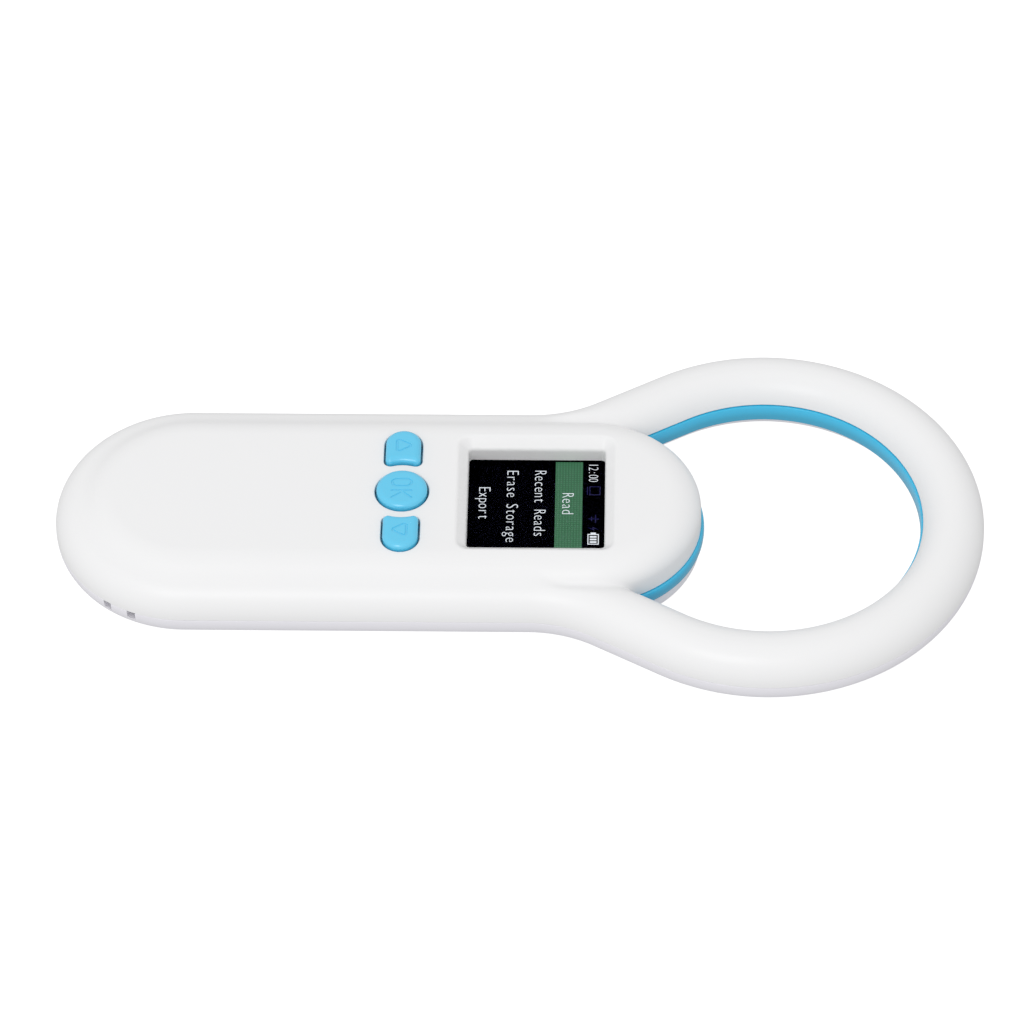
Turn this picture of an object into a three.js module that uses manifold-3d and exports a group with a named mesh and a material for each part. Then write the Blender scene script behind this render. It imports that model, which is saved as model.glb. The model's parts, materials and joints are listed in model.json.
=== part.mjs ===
// Handheld microchip scanner: a racket-shaped reader with an antenna ring, a colour display and three keys.
// Frame: millimetres, +X from the butt of the handle to the antenna ring, +Z out of the display side.
// The scanner lies on its back: z = 0 is the flat underside, and x = y = 0 is the middle of the outline.
import * as THREE from "three";
import { mergeVertices } from "three/addons/utils/BufferGeometryUtils.js";
import Module from "manifold-3d";

const wasm = await Module();
wasm.setup();

// ---- Driving dimensions -------------------------------------------------------------------------
const LENGTH = 185;
const MID_Z = 8.9; // mid-plane of the whole case
const TOP_Z = 2 * MID_Z;
const PARTING_Z = MID_Z - 0.2; // the joint between the two shells
const SHELL_GAP = 0.06; // hairline between the shells
const WALL = 1.9;

// The frame: a flat tube that makes the ring, the two arms and the rim of the handle. Its hole runs on
// under the pod, where the arms fall away to it.
const RING_OUTER = 43.4;
const RING_X = LENGTH / 2 - RING_OUTER;
const HANDLE_HALF_WIDTH = 26.8;
const BUTT_X = -LENGTH / 2 + HANDLE_HALF_WIDTH; // centre of the round butt
const ARM_SLOPE = THREE.MathUtils.degToRad(30);
const FRAME_OUTLINE = {
  ring: RING_OUTER,
  side: HANDLE_HALF_WIDTH,
  fillet: 25,
  end: -LENGTH / 2,
  corner: HANDLE_HALF_WIDTH,
};
const HOLE_OUTLINE = { ring: 31.1, side: 19.4, fillet: 20, end: 6.5, corner: 4 };
const FRAME = { half: 6.6, round: 6, rise: 6.2 }; // half height, and the width and height of its rounded edge

// The pod: the raised body along the handle whose round tip hangs into the ring.
const POD = { half: MID_Z, round: 6.7, rise: 4.8 };
const POD_RADIUS = 22;
const POD_TIP_X = 36.2;
const POD_BUTT_X = -87.3;
const TIP_CENTRE_X = POD_TIP_X - POD_RADIUS;

// The coloured band round the ring's hole, and its lower part over the pod's tip.
const BAND = { low: MID_Z - 2.3, high: MID_Z + 1.7, proud: 0.35 };
const TIP_BAND = { low: MID_Z - 2.6, high: MID_Z + 0.5, proud: 0.65 };
const BAND_DEEP = 1.2; // how far both reach into the case
const BAND_LAP = 0.1; // how far the one runs into the other
const BAND_GAP = 0.08; // clearance all round

// The display window.
const WINDOW = { x: 3.4, y: 0, long: 27.25, wide: 26.45, corner: 0.8 };
const WINDOW_BEVEL = { wide: 2.15, deep: 2.2, corner: 2.6 };
const GLASS_TOP = MID_Z + 4;

// The keys.
const KEY_X = -23.25;
const OK_RADIUS = 5.05;
const SIDE_KEY = { inner: 7.55, outer: 15.9, half: 3.5, corner: 1 };
const KEY_GAP = 0.35;
const KEY_PROUD = 1.2;
const KEY_TOP = TOP_Z + KEY_PROUD;
const KEY_FLANGE_Z = TOP_Z - WALL - 0.15;

// The circuit board and what it carries.
const BOARD = { low: 8.5, high: 9.6, left: -88, right: 11, half: 18.2 };
const SWITCH_TOP = BOARD.high + 1.8;
const PLUNGER_TOP = SWITCH_TOP + 2.1;
const BOARD_SCREWS = [
  [-78, -12],
  [-78, 12],
  [-34, -15],
  [-34, 15],
];
const CASE_SCREWS = [
  [-60, -22.4],
  [-60, 22.4],
  [-5, -22.4],
  [-5, 22.4],
  [74.4, -30.1],
  [74.4, 30.1],
];

// The antenna coil's former, an L-shaped ring, and the channel that it runs in.
const COIL = { inner: 34.9, outer: 37, low: 6.6, high: 9.6, skin: 0.4, clearance: 0.25 };

// ---- Colours ------------------------------------------------------------------------------------
const material = (color, roughness, metalness = 0) =>
  new THREE.MeshStandardMaterial({ color, roughness, metalness });
const WHITE = material(0xf0f0f0, 0.35);
const CYAN = material(0x4fb4dc, 0.4);
const KEY_CYAN = material(0x6ecdf0, 0.4);
const GREEN_BOARD = material(0x1f5b3a, 0.5);
const BLACK = material(0x161618, 0.4);
const SCREEN = material(0x05060c, 0.15);
const CLEAR = material(0xdfe8ee, 0.05);
const STEEL = material(0xb9bcc0, 0.3, 1);
const COPPER = material(0xb56a3a, 0.35, 1);
const SILVER = material(0xc9ccd2, 0.4, 0.9);
const AMBER = material(0xc98a2e, 0.5);
const NATURAL = material(0xe6e2d6, 0.5);
const RED = material(0xb3221c, 0.5);
const FOAM = material(0x3a3a3c, 0.9);

// ---- Outlines -----------------------------------------------------------------------------------
// Points along an arc, both ends included; angles in radians, step in degrees.
function arc(x, y, radius, from, to, step = 7.5) {
  const count = Math.max(1, Math.round(Math.abs(THREE.MathUtils.radToDeg(to - from)) / step));
  return Array.from({ length: count + 1 }, (_, i) => {
    const angle = from + ((to - from) * i) / count;
    return new THREE.Vector2(x + radius * Math.cos(angle), y + radius * Math.sin(angle));
  });
}

// A shape from points, with neighbours that coincide joined into one.
function outline(points, holes = []) {
  const clean = (list) => list.filter((p, i) => p.distanceTo(list.at(i - 1)) > 1e-4);
  const shape = new THREE.Shape(clean(points));
  shape.holes = holes.map((hole) => new THREE.Path(clean(hole)));
  return shape;
}

const circle = (x, y, radius, step = 15) =>
  arc(x, y, radius, 0, 2 * Math.PI, step).slice(0, -1);

// A rectangle with rounded corners.
function roundedRectangle(x, y, long, wide, corner, step = 22.5) {
  const dx = long / 2 - corner;
  const dy = wide / 2 - corner;
  const quarter = Math.PI / 2;
  return [
    ...arc(x + dx, y + dy, corner, 0, quarter, step),
    ...arc(x - dx, y + dy, corner, quarter, 2 * quarter, step),
    ...arc(x - dx, y - dy, corner, 2 * quarter, 3 * quarter, step),
    ...arc(x + dx, y - dy, corner, 3 * quarter, 4 * quarter, step),
  ];
}

// The pod seen from above, drawn in by an inset.
function podOutline(inset = 0, step = 7.5) {
  const radius = POD_RADIUS - inset;
  const quarter = Math.PI / 2;
  return [
    ...arc(TIP_CENTRE_X, 0, radius, -quarter, quarter, step),
    ...arc(POD_BUTT_X + POD_RADIUS, 0, radius, quarter, 3 * quarter, step),
  ];
}

// A racket's outline: a ring, two straight sides tangent to it, a hollow fillet into each side of the
// handle, and a handle end with round corners. Growing it keeps every side parallel.
function racket({ ring, side, fillet, end, corner }, grow = 0, step = 7.5) {
  const ringRadius = ring + grow;
  const filletRadius = fillet - grow;
  const cornerRadius = corner + grow;
  const sine = Math.sin(ARM_SLOPE);
  const cosine = Math.cos(ARM_SLOPE);
  const straight = ((ring + fillet) * cosine - side - fillet) / sine;
  const filletX = RING_X - (ring + fillet) * sine - straight * cosine;
  const filletY = side + fillet;
  const cornerX = end + corner;
  const cornerY = side - corner;
  const quarter = Math.PI / 2;
  return [
    ...arc(RING_X, 0, ringRadius, -quarter - ARM_SLOPE, quarter + ARM_SLOPE, step),
    ...arc(filletX, filletY, filletRadius, ARM_SLOPE - quarter, -quarter, step),
    ...arc(cornerX, cornerY, cornerRadius, quarter, 2 * quarter, step),
    ...arc(cornerX, -cornerY, cornerRadius, 2 * quarter, 3 * quarter, step),
    ...arc(filletX, -filletY, filletRadius, quarter, quarter - ARM_SLOPE, step),
  ];
}
const frameOutline = (inset, step) => racket(FRAME_OUTLINE, -inset, step);
const holeOutline = (grow, step) => racket(HOLE_OUTLINE, grow, step);

// A side key seen from above: round at its far end, hollow towards the round key.
function sideKeyOutline(side, grow = 0, step = 15) {
  const half = SIDE_KEY.half + grow;
  const inner = SIDE_KEY.inner - grow;
  const corner = SIDE_KEY.corner;
  const roundY = SIDE_KEY.outer - SIDE_KEY.half;
  const hollow = Math.asin((half - corner) / (inner + corner));
  const cornerY = (inner + corner) * Math.cos(hollow);
  const points = [
    ...arc(0, roundY, half, 0, Math.PI, step),
    ...arc(corner - half, cornerY, corner, Math.PI, 1.5 * Math.PI + hollow, 2 * step),
    ...arc(0, 0, inner, Math.PI / 2 + hollow, Math.PI / 2 - hollow, step),
    ...arc(half - corner, cornerY, corner, 1.5 * Math.PI - hollow, 2 * Math.PI, 2 * step),
  ];
  const placed = points.map((p) => new THREE.Vector2(KEY_X + p.x, side * p.y));
  return side > 0 ? placed : placed.reverse();
}

// ---- Solids -------------------------------------------------------------------------------------
function solid(geometry) {
  const bare = geometry.index ? geometry.toNonIndexed() : geometry.clone();
  bare.deleteAttribute("normal");
  bare.deleteAttribute("uv");
  const merged = mergeVertices(bare, 1e-4);
  return new wasm.Manifold(
    new wasm.Mesh({
      numProp: 3,
      vertProperties: merged.attributes.position.array,
      triVerts: new Uint32Array(merged.index.array),
    }),
  );
}

// A flat plate from z = low to z = high.
function plate(points, low, high, holes = []) {
  const geometry = new THREE.ExtrudeGeometry(outline(points, holes), {
    depth: high - low,
    bevelEnabled: false,
  });
  return solid(geometry.translate(0, 0, low));
}

// A plate whose upper and lower edges are rounded (or, with one segment, chamfered).
function roundedPlate(points, low, high, { round, rise, segments = 4 }, holes = []) {
  const geometry = new THREE.ExtrudeGeometry(outline(points, holes), {
    depth: high - low - 2 * rise,
    bevelSize: round,
    bevelOffset: -round,
    bevelThickness: rise,
    bevelSegments: segments,
  });
  return solid(geometry.translate(0, 0, low + rise));
}

// A solid through several outlines at rising heights, each with the same number of points.
function loft(levels) {
  const rings = levels.map(([points, z]) => outline(points).getPoints().map((p) => [p.x, p.y, z]));
  const count = rings[0].length;
  const lid = THREE.ShapeUtils.triangulateShape(outline(levels[0][0]).getPoints(), []);
  const last = (rings.length - 1) * count;
  const faces = lid.flatMap(([a, b, c]) => [c, b, a]);
  faces.push(...lid.flatMap((corners) => corners.map((corner) => corner + last)));
  for (let ring = 0; ring < last; ring += count) {
    for (let i = 0; i < count; i++) {
      const next = (i + 1) % count;
      faces.push(ring + i, ring + next, ring + count + next);
      faces.push(ring + i, ring + count + next, ring + count + i);
    }
  }
  const geometry = new THREE.BufferGeometry()
    .setAttribute("position", new THREE.Float32BufferAttribute(rings.flat(2), 3))
    .setIndex(faces);
  return solid(geometry);
}

const disc = (x, y, radius, low, high, step = 22.5) => plate(circle(x, y, radius, step), low, high);

const block = (x, y, long, wide, low, high) =>
  solid(new THREE.BoxGeometry(long, wide, high - low).translate(x, y, (low + high) / 2));

// A ring with a stepped section, turned about a vertical axis; profile holds [radius, z] pairs.
function turned(profile, x, y, segments = 48) {
  const closed = [...profile, profile[0]].map(([radius, z]) => new THREE.Vector2(radius, z));
  const geometry = new THREE.LatheGeometry(closed, segments);
  return solid(geometry.rotateX(Math.PI / 2).translate(x, y, 0));
}

// A round wire along a smooth curve.
function wire(points, radius, steps = 12) {
  const path = new THREE.CatmullRomCurve3(points.map((p) => new THREE.Vector3(...p)));
  const section = new THREE.Shape(circle(0, 0, radius, 60));
  return solid(
    new THREE.ExtrudeGeometry(section, { steps, extrudePath: path, bevelEnabled: false }),
  );
}

const join = (...solids) => solids.reduce((all, next) => all.add(next));
const cut = (base, ...tools) => tools.reduce((rest, tool) => rest.subtract(tool), base);

// ---- The case -----------------------------------------------------------------------------------
const edgeOf = (body, inset, segments) => ({
  round: body.round - inset,
  rise: body.rise - inset,
  segments,
});

// What the frame's hole takes away: its wall is rounded out towards both faces.
function frameHole(inset, segments, step) {
  const { round, rise } = edgeOf(FRAME, inset, segments);
  const face = FRAME.half - inset;
  const upper = Array.from({ length: segments + 1 }, (_, i) => {
    const angle = ((Math.PI / 2) * i) / segments;
    return [inset + round * (1 - Math.cos(angle)), face - rise * (1 - Math.sin(angle))];
  });
  const profile = [...upper, [inset + round, face + 1]];
  const lower = profile.map(([grow, height]) => [grow, -height]).reverse();
  return loft([...lower, ...profile].map(([grow, z]) => [holeOutline(grow, step), MID_Z + z]));
}

// The whole case drawn in by an inset on every side: the frame with its hole, and the pod.
function caseBody(inset, segments, step) {
  const slab = (points, body) =>
    roundedPlate(
      points,
      MID_Z - body.half + inset,
      MID_Z + body.half - inset,
      edgeOf(body, inset, segments),
    );
  const frame = slab(frameOutline(inset, step), FRAME).subtract(frameHole(inset, segments, step));
  return frame.add(slab(podOutline(inset, step), POD));
}

const outside = caseBody(0, 4, 7.5);
const inside = caseBody(WALL, 2, 12);
const roomInside = caseBody(WALL + 0.15, 2, 12);
const FAR = 300;
const halfSpace = (low, high) => block(0, 0, FAR, FAR, low, high);

// Both shells are cut for the band, with a small clearance.
const grooveDeep = BAND_DEEP + BAND_GAP;
const bandEnd = TIP_BAND.proud - BAND_LAP; // where the ring's part stops, outside the pod
const bandSlot = (points, { low, high }) => plate(points, low - BAND_GAP, high + BAND_GAP);
const bandGroove = join(
  cut(bandSlot(holeOutline(grooveDeep), BAND), plate(podOutline(BAND_GAP - bandEnd), 0, TOP_Z)),
  cut(
    bandSlot(podOutline(-TIP_BAND.proud - BAND_GAP), TIP_BAND).intersect(
      plate(holeOutline(grooveDeep), 0, TOP_Z),
    ),
    plate(podOutline(grooveDeep), 0, TOP_Z),
  ),
);

// The charging socket's opening, through the end of the butt.
const SOCKET = { mouth: -92.1, long: 5.8, wide: 7.6, low: BOARD.low - 2.7, high: BOARD.low - 0.05 };
const socketOpening = block(
  SOCKET.mouth,
  0,
  8,
  SOCKET.wide + 0.8,
  SOCKET.low - 0.4,
  SOCKET.high + 0.4,
);

// The bevelled well that the display sits in.
const windowOutline = (grow) =>
  roundedRectangle(
    WINDOW.x,
    WINDOW.y,
    WINDOW.long + 2 * grow,
    WINDOW.wide + 2 * grow,
    WINDOW.corner + (grow * (WINDOW_BEVEL.corner - WINDOW.corner)) / WINDOW_BEVEL.wide,
  );
const windowHole = plate(windowOutline(0), 0, TOP_Z + 1);
const windowBevel = roundedPlate(
  windowOutline(WINDOW_BEVEL.wide),
  TOP_Z - WINDOW_BEVEL.deep,
  TOP_Z + WINDOW_BEVEL.deep,
  { round: WINDOW_BEVEL.wide, rise: WINDOW_BEVEL.deep - 0.01, segments: 1 },
);
const windowWell = plate(windowOutline(1.6), GLASS_TOP + 0.1, TOP_Z - 1).add(
  plate(windowOutline(3.6), TOP_Z - WINDOW_BEVEL.deep - 1.2, TOP_Z - 1),
);

// Screw bosses that hang from the top shell, and the columns below them.
const BOSS_RADIUS = 2;
const SCREW = { shank: 0.9, head: 1.6, headLow: 3.7, headHigh: 5.0, tip: 11.6 };
const caseScrewDiscs = (radius, low, high) =>
  join(...CASE_SCREWS.map(([x, y]) => disc(x, y, radius, low, high)));
const topBosses = caseScrewDiscs(BOSS_RADIUS, PARTING_Z, 13.6).intersect(outside);
const bottomColumns = caseScrewDiscs(BOSS_RADIUS, 3, PARTING_Z).intersect(outside);

// The coil's channel, where it crosses from the arms into the pod.
const coilChannel = turned(
  [
    [COIL.inner - COIL.clearance, COIL.low - COIL.clearance],
    [COIL.outer + COIL.clearance, COIL.low - COIL.clearance],
    [COIL.outer + COIL.clearance, COIL.high + COIL.clearance],
    [COIL.inner - COIL.clearance, COIL.high + COIL.clearance],
  ],
  RING_X,
  0,
);

// Key openings in the roof.
const keyOpenings = join(
  disc(KEY_X, 0, OK_RADIUS + KEY_GAP, 0, TOP_Z + 1, 10),
  plate(sideKeyOutline(1, KEY_GAP), 0, TOP_Z + 1),
  plate(sideKeyOutline(-1, KEY_GAP), 0, TOP_Z + 1),
);

const topShell = cut(
  join(
    cut(outside.intersect(halfSpace(PARTING_Z + SHELL_GAP / 2, FAR)), inside),
    windowWell,
    topBosses.intersect(halfSpace(PARTING_Z + SHELL_GAP / 2, FAR)),
  ),
  windowHole,
  windowBevel,
  keyOpenings,
  bandGroove,
  coilChannel,
  socketOpening,
  caseScrewDiscs(SCREW.shank + 0.08, 0, SCREW.tip + 0.4),
);

// Standoffs for the circuit board.
const standoffs = join(...BOARD_SCREWS.map(([x, y]) => disc(x, y, 2.6, 1, BOARD.low - 0.05)));
const BOARD_SCREW = { shank: 0.9, head: 1.7, tip: 3.8, top: BOARD.high + 1.1 };
const standoffHoles = join(
  ...BOARD_SCREWS.map(([x, y]) =>
    disc(x, y, BOARD_SCREW.shank + 0.08, BOARD_SCREW.tip - 0.4, BOARD.high),
  ),
);

// The lanyard tunnel: two slots side by side in the lower shell's rim, joined behind a post. The top shell
// closes them.
const LANYARD = { from: 235.2, to: 247, low: MID_Z - 2.2, high: MID_Z, wide: 1.8, deep: 3.6 };
function lanyardSlot(degrees) {
  const slot = block(HANDLE_HALF_WIDTH, 0, 2 * LANYARD.deep, LANYARD.wide, LANYARD.low, LANYARD.high);
  return slot.rotate([0, 0, degrees]).translate([BUTT_X, 0, 0]);
}
function buttSector(inner, outer, from, to, low, high) {
  const start = THREE.MathUtils.degToRad(from);
  const end = THREE.MathUtils.degToRad(to);
  const points = [...arc(BUTT_X, 0, outer, start, end), ...arc(BUTT_X, 0, inner, end, start)];
  return plate(points, low, high);
}
const tunnelOuter = HANDLE_HALF_WIDTH - 1.9;
const tunnelInner = HANDLE_HALF_WIDTH - LANYARD.deep;
const lanyardTunnel = join(
  lanyardSlot(LANYARD.from),
  lanyardSlot(LANYARD.to),
  buttSector(tunnelInner, tunnelOuter, LANYARD.from, LANYARD.to, LANYARD.low, LANYARD.high),
);
const lanyardBlock = buttSector(
  tunnelInner - 1,
  HANDLE_HALF_WIDTH - 1,
  LANYARD.from - 5,
  LANYARD.to + 5,
  4,
  PARTING_Z,
).intersect(outside);

const bottomShell = cut(
  join(
    cut(outside.intersect(halfSpace(-FAR, PARTING_Z - SHELL_GAP / 2)), inside),
    bottomColumns.intersect(halfSpace(-FAR, PARTING_Z - SHELL_GAP / 2)),
    standoffs.intersect(halfSpace(-FAR, PARTING_Z - SHELL_GAP / 2)),
    lanyardBlock.intersect(halfSpace(-FAR, PARTING_Z - SHELL_GAP / 2)),
  ),
  bandGroove,
  coilChannel,
  socketOpening,
  standoffHoles,
  lanyardTunnel,
  caseScrewDiscs(SCREW.shank + 0.08, 0, FAR),
  caseScrewDiscs(SCREW.head + 0.25, -1, SCREW.headHigh + 0.05),
);

// The band lines the hole's wall and the pod's tip, with a bulging face.
const bandFace = { round: 0.3, rise: 1.2, segments: 2 };
const lining = ({ low, high }, outer, inner) => roundedPlate(outer, low, high, bandFace, [inner]);
const ringBand = lining(BAND, holeOutline(BAND_DEEP), holeOutline(-BAND.proud));
const tipBand = lining(TIP_BAND, podOutline(-TIP_BAND.proud), podOutline(BAND_DEEP));
const band = join(
  cut(ringBand, plate(podOutline(-bandEnd), 0, TOP_Z)),
  tipBand.intersect(plate(holeOutline(BAND_DEEP), 0, TOP_Z)),
).subtract(coilChannel);

// ---- The keys and their switches ----------------------------------------------------------------
// A cap with a rounded crown, a flange under the roof that keeps it in, and a stem over its switch.
function keyCap(points, flangePoints, y) {
  const crown = roundedPlate(points, KEY_FLANGE_Z - 2.5, KEY_TOP, {
    round: 0.9,
    rise: 0.7,
    segments: 3,
  }).intersect(halfSpace(KEY_FLANGE_Z - 1.0, FAR));
  const flange = plate(flangePoints, KEY_FLANGE_Z - 0.9, KEY_FLANGE_Z).intersect(roomInside);
  const stem = disc(KEY_X, y, 1.2, PLUNGER_TOP + 0.02, KEY_FLANGE_Z);
  return join(crown, flange, stem);
}
const SIDE_KEY_Y = 11.2;
const keys = [
  ["up", SIDE_KEY_Y, sideKeyOutline(1), sideKeyOutline(1, KEY_GAP + 0.45)],
  ["ok", 0, circle(KEY_X, 0, OK_RADIUS, 10), circle(KEY_X, 0, OK_RADIUS + KEY_GAP + 0.35, 10)],
  ["down", -SIDE_KEY_Y, sideKeyOutline(-1), sideKeyOutline(-1, KEY_GAP + 0.45)],
];

function switchBase(y) {
  const body = block(KEY_X, y, 4.8, 4.8, BOARD.high + 0.02, SWITCH_TOP);
  return body.subtract(disc(KEY_X, y, 1.4, SWITCH_TOP - 1.3, SWITCH_TOP + 1));
}
const switchPlunger = (y) => disc(KEY_X, y, 1.2, SWITCH_TOP - 0.7, PLUNGER_TOP);

// ---- The display --------------------------------------------------------------------------------
const DISPLAY = { x: 2.6, long: 35.6, wide: 30.6, low: BOARD.high + 0.1, high: GLASS_TOP - 0.8 };
const displayTray = cut(
  block(DISPLAY.x, 0, DISPLAY.long, DISPLAY.wide, DISPLAY.low, DISPLAY.high),
  block(DISPLAY.x, 0, DISPLAY.long - 1.6, DISPLAY.wide - 1.6, DISPLAY.low + 0.9, TOP_Z),
);
const displayPanel = block(
  DISPLAY.x,
  0,
  DISPLAY.long - 1.8,
  DISPLAY.wide - 1.8,
  DISPLAY.low + 1,
  DISPLAY.high - 0.05,
);
const displayLens = plate(windowOutline(1.5), DISPLAY.high + 0.05, GLASS_TOP);
const flex = join(
  block(-17.4, 0, 4.2, 12, BOARD.high + 0.5, BOARD.high + 0.7),
  block(-15.4, 0, 0.2, 12, BOARD.high + 0.5, BOARD.high + 1.8),
  block(-19.4, 0, 0.2, 12, BOARD.high + 0.2, BOARD.high + 0.7),
);

// ---- The antenna --------------------------------------------------------------------------------
const coilFormer = turned(
  [
    [COIL.inner, COIL.low],
    [COIL.outer, COIL.low],
    [COIL.outer, COIL.low + COIL.skin],
    [COIL.inner + COIL.skin, COIL.low + COIL.skin],
    [COIL.inner + COIL.skin, COIL.high],
    [COIL.inner, COIL.high],
  ],
  RING_X,
  0,
);
const windingInner = COIL.inner + COIL.skin + 0.1;
const windingLow = COIL.low + COIL.skin + 0.1;
const coilWinding = turned(
  [
    [windingInner, windingLow],
    [COIL.outer - 0.1, windingLow],
    [COIL.outer - 0.1, COIL.high - 0.1],
    [windingInner, COIL.high - 0.1],
  ],
  RING_X,
  0,
);

// ---- The battery --------------------------------------------------------------------------------
const BATTERY = { x: -46, long: 50, wide: 24, low: 2.4, high: 7.6 };
const batteryCell = roundedPlate(
  roundedRectangle(BATTERY.x, 0, BATTERY.long, BATTERY.wide, 2),
  BATTERY.low,
  BATTERY.high,
  { round: 1.2, rise: 1.5, segments: 2 },
);
const batteryPad = block(BATTERY.x, 0, 40, 18, 1.92, BATTERY.low - 0.02);
const batteryRight = BATTERY.x + BATTERY.long / 2;
const batteryLead = (y) =>
  wire(
    [
      [batteryRight + 0.1, y, 4.8],
      [batteryRight + 3, y * 1.3, 4.4],
      [batteryRight + 7, y * 1.1, 5.6],
      [batteryRight + 9.2, y, 7.3],
    ],
    0.5,
  );
const antennaLead = (side) =>
  wire(
    [
      [12, side * 2, 7.8],
      [11.3, side * 2, 7.7],
      [10.2, side * 1.8, 7.4],
      [8.6, side * 1.8, 7.4],
    ],
    0.28,
  );

// ---- Board parts --------------------------------------------------------------------------------
const boardOutline = roundedRectangle(
  (BOARD.left + BOARD.right) / 2,
  0,
  BOARD.right - BOARD.left,
  2 * BOARD.half,
  13,
  15,
);
const board = cut(
  plate(boardOutline, BOARD.low, BOARD.high),
  ...BOARD_SCREWS.map(([x, y]) => disc(x, y, 1.2, 0, FAR)),
);
const onBoard = (x, y, long, wide, tall) =>
  block(x, y, long, wide, BOARD.high + 0.02, BOARD.high + tall);
const underBoard = (x, y, long, wide, tall) =>
  block(x, y, long, wide, BOARD.low - tall, BOARD.low - 0.02);

const boardScrew = ([x, y]) =>
  join(
    disc(x, y, BOARD_SCREW.shank, BOARD_SCREW.tip, BOARD.high + 0.5),
    disc(x, y, BOARD_SCREW.head, BOARD.high + 0.02, BOARD_SCREW.top),
  );
const caseScrew = ([x, y]) =>
  join(
    disc(x, y, SCREW.shank, SCREW.headHigh - 0.5, SCREW.tip),
    disc(x, y, SCREW.head, SCREW.headLow, SCREW.headHigh),
  );
const socketMiddle = SOCKET.mouth + SOCKET.long / 2;
const socketShell = cut(
  block(socketMiddle, 0, SOCKET.long, SOCKET.wide, SOCKET.low, SOCKET.high),
  block(socketMiddle - 0.5, 0, SOCKET.long, SOCKET.wide - 0.8, SOCKET.low + 0.4, SOCKET.high - 0.4),
);
const socketTongue = block(socketMiddle, 0, 4.4, 4.6, SOCKET.low + 1.0, SOCKET.low + 1.7);

// ---- The assembly -------------------------------------------------------------------------------
const scanner = new THREE.Group();
scanner.name = "microchip_scanner";

function add(name, body, look) {
  const made = body.getMesh();
  const geometry = new THREE.BufferGeometry()
    .setAttribute("position", new THREE.BufferAttribute(made.vertProperties, 3))
    .setIndex(new THREE.BufferAttribute(made.triVerts, 1));
  geometry.computeVertexNormals();
  const mesh = new THREE.Mesh(geometry, look);
  mesh.name = name;
  scanner.add(mesh);
}

add("top_shell", topShell, WHITE);
add("bottom_shell", bottomShell, WHITE);
add("accent_band", band, CYAN);
for (const [name, y, points, flangePoints] of keys) {
  add(`${name}_key`, keyCap(points, flangePoints, y), KEY_CYAN);
  add(`${name}_switch`, switchBase(y), BLACK);
  add(`${name}_plunger`, switchPlunger(y), NATURAL);
}
add("display_lens", displayLens, CLEAR);
add("display_panel", displayPanel, SCREEN);
add("display_tray", displayTray, NATURAL);
add("display_flex", flex, AMBER);
add("flex_connector", onBoard(-19.2, 0, 1.2, 13, 0.15), BLACK);
add("main_board", board, GREEN_BOARD);
add("controller_chip", onBoard(-50, 0, 10, 10, 1.2), BLACK);
add("reader_chip", onBoard(-66, 5, 8, 8, 1.2), BLACK);
add("memory_chip", onBoard(-66, -7, 6, 5, 1.2), BLACK);
add("radio_module", onBoard(-38, -4, 8, 12, 2.0), SILVER);
add("crystal", onBoard(-57.5, 10, 5, 3.2, 1.4), STEEL);
add("buzzer", disc(-2, 9, 4.5, BOARD.low - 3, BOARD.low - 0.02, 15), BLACK);
add("battery_cell", batteryCell, SILVER);
add("battery_pad", batteryPad, FOAM);
add("battery_connector", underBoard(-9.4, 0, 4, 6, 2.0), NATURAL);
add("battery_lead_red", batteryLead(1.2), RED);
add("battery_lead_black", batteryLead(-1.2), BLACK);
add("antenna_coil", coilWinding, COPPER);
add("coil_former", coilFormer, NATURAL);
add("antenna_connector", underBoard(7, 0, 3, 6, 1.8), NATURAL);
add("antenna_lead_a", antennaLead(1), RED);
add("antenna_lead_b", antennaLead(-1), BLACK);
add("usb_socket", socketShell, STEEL);
add("usb_tongue", socketTongue, BLACK);
BOARD_SCREWS.forEach((place, i) => add(`board_screw_${i + 1}`, boardScrew(place), STEEL));
CASE_SCREWS.forEach((place, i) => add(`case_screw_${i + 1}`, caseScrew(place), STEEL));

export default scanner;
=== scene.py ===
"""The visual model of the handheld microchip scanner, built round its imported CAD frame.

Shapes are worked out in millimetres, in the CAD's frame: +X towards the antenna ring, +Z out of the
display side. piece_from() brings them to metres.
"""

import json
import math

import bmesh
import bpy
import numpy as np
from mathutils import Matrix, Vector


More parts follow.
